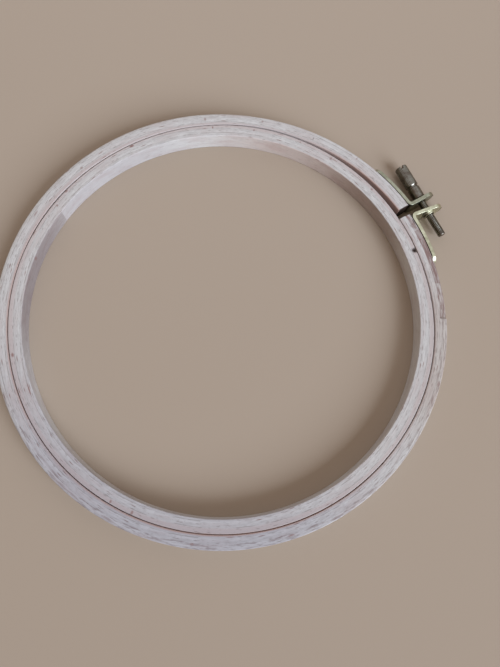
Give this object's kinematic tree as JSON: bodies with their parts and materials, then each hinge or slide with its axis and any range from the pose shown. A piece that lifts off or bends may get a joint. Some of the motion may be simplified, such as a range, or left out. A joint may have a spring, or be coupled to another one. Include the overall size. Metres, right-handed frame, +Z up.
{
  "type": "embroidery hoop",
  "caption": "Round wooden embroidery hoop: a plain inner ring inside a split outer ring that a knurled screw through two metal brackets opens and tightens.",
  "frame": {"origin": "on the table, in the middle of the hoop's outline, so the rings' own middle lies 9.7 mm behind it towards -Y", "axes": "+Z up out of the hoop as it lies flat; +Y from the rings' middle through the split and along the brackets' ears; +X along the screw, from its knurled head to its tip"},
  "size_m": [0.2166, 0.236, 0.01],
  "materials": {
    "beech": "sanded, unlacquered, pale pinkish grey",
    "bracket_brass": "dull pale brass plate, satin",
    "nail_brass": "dull brass",
    "screw_bronze": "dark antique bronze plate, worn bright on edges"
  },
  "bodies": {
    "outer_ring_back": {"outer_ring_back": "beech"},
    "left_arm": {"outer_ring_left": "beech", "left_bracket": "bracket_brass", "left_bracket_nail_1": "nail_brass", "left_bracket_nail_2": "nail_brass"},
    "right_arm": {"outer_ring_right": "beech", "right_bracket": "bracket_brass", "right_bracket_nail_1": "nail_brass", "right_bracket_nail_2": "nail_brass"},
    "screw": {"tension_screw": "screw_bronze"},
    "inner_ring": {"inner_ring": "beech"}
  },
  "joints": [
    {"name": "right_end_opens", "type": "hinge", "parent": "outer_ring_back", "child": "right_arm", "pos_m": [0.06031, -0.09583, 0.005], "axis": [0, 0, -1], "range_deg": [-0.1, 1.16]},
    {"name": "left_end_opens", "type": "hinge", "parent": "outer_ring_back", "child": "left_arm", "pos_m": [-0.06031, -0.09583, 0.005], "axis": [0, 0, 1], "range_deg": [-0.1, 1.16]},
    {"name": "screw_turns", "type": "hinge", "parent": "left_arm", "child": "screw", "pos_m": [0, 0.1108, 0.005], "axis": [-0.9972, 0.075, 0], "range_deg": [-360, 4320]},
    {"name": "inner_ring_lifts", "type": "slide", "parent": "outer_ring_back", "child": "inner_ring", "axis": [0, 0, 1], "range_m": [0, 0.03]}
  ],
  "couplings": [
    {"joint": "left_end_opens", "follows": "right_end_opens", "ratio": 1},
    {"joint": "screw_turns", "follows": "right_end_opens", "ratio": 3709.5}
  ]
}
